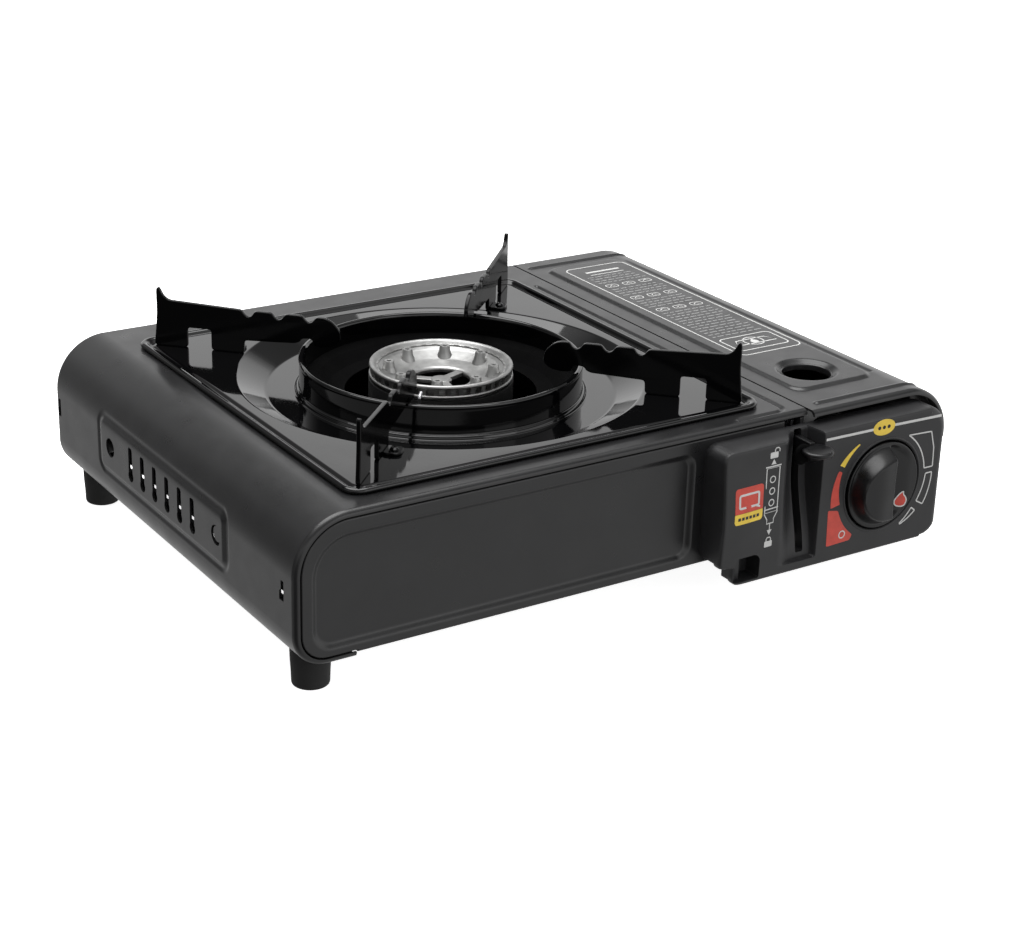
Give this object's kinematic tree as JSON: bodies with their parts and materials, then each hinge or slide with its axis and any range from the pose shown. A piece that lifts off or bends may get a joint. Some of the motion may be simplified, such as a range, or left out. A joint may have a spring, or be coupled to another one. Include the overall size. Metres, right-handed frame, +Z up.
{
  "type": "camping stove",
  "caption": "Portable gas stove: flat rounded steel casing with a burner and pan supports, a hinged cartridge bay lid, and a front panel with a knob and a lock lever.",
  "frame": {"origin": "on the ground, under the middle of the stove's outer box", "axes": "+X towards the cartridge bay and its lid, +Y towards the back, +Z up; the knob and lever face -Y"},
  "size_m": [0.3405, 0.272, 0.1095],
  "materials": {
    "casing_paint": "satin powder coat",
    "black_enamel": "gloss enamel",
    "zinc_steel": "zinc plated",
    "screw_steel": "plated",
    "cast_aluminium": "fine blasted casting",
    "dark_casting": "heat darkened casting",
    "brass": "machined",
    "black_plastic": "fine grained",
    "knob_plastic": "semi gloss",
    "black_rubber": "matte",
    "white_ceramic": "glazed",
    "lead_sleeve": "matte",
    "igniter_case": "matte"
  },
  "bodies": {
    "casing": {"body_shell": "casing_paint", "front_panel": "casing_paint", "rear_panel": "casing_paint", "base_pan": "casing_paint", "bay_divider": "casing_paint", "bay_guard": "casing_paint", "heat_shield": "zinc_steel", "foot_screws": "screw_steel", "foot_front_left": "black_rubber", "foot_front_right": "black_rubber", "foot_rear_left": "black_rubber", "foot_rear_right": "black_rubber", "hinge_pins": "screw_steel", "gas_valve": "cast_aluminium", "regulator": "dark_casting", "cartridge_seat": "brass", "gas_jet": "brass", "mixing_tube": "zinc_steel", "burner_bowl": "dark_casting", "burner_head": "cast_aluminium", "burner_bracket": "zinc_steel", "burner_screws": "screw_steel", "electrode_bracket": "zinc_steel", "electrode_insulator": "white_ceramic", "electrode_rod": "screw_steel", "piezo_igniter": "igniter_case", "ignition_lead": "lead_sleeve", "control_panel": "black_plastic", "panel_screws": "screw_steel"},
    "lid": {"cartridge_lid": "casing_paint"},
    "knob": {"control_knob": "knob_plastic", "valve_spindle": "screw_steel", "igniter_cam": "igniter_case"},
    "lever": {"lock_lever": "knob_plastic", "lock_slider": "zinc_steel"},
    "yoke": {"cartridge_yoke": "zinc_steel"},
    "tray": {"drip_tray": "black_enamel", "support_arm_front_left": "black_enamel", "support_arm_front_right": "black_enamel", "support_arm_rear_right": "black_enamel", "support_arm_rear_left": "black_enamel"}
  },
  "joints": [
    {"name": "lid_hinge", "type": "hinge", "parent": "casing", "child": "lid", "pos_m": [0.164, 0, 0.05], "axis": [0, 1, 0], "range_deg": [0, 95]},
    {"name": "knob_turn", "type": "hinge", "parent": "casing", "child": "knob", "pos_m": [0.1228, -0.12, 0.0415], "axis": [0, -1, 0], "range_deg": [0, 250]},
    {"name": "lock_slide", "type": "slide", "parent": "casing", "child": "lever", "axis": [0, 0, -1], "range_m": [0, 0.046]},
    {"name": "yoke_slide", "type": "slide", "parent": "casing", "child": "yoke", "axis": [0, -1, 0], "range_m": [0, 0.006]},
    {"name": "tray_lift", "type": "slide", "parent": "casing", "child": "tray", "axis": [0, 0, 1], "range_m": [0, 0.06]}
  ],
  "couplings": [
    {"joint": "yoke_slide", "follows": "lock_slide", "ratio": 0.1304}
  ]
}
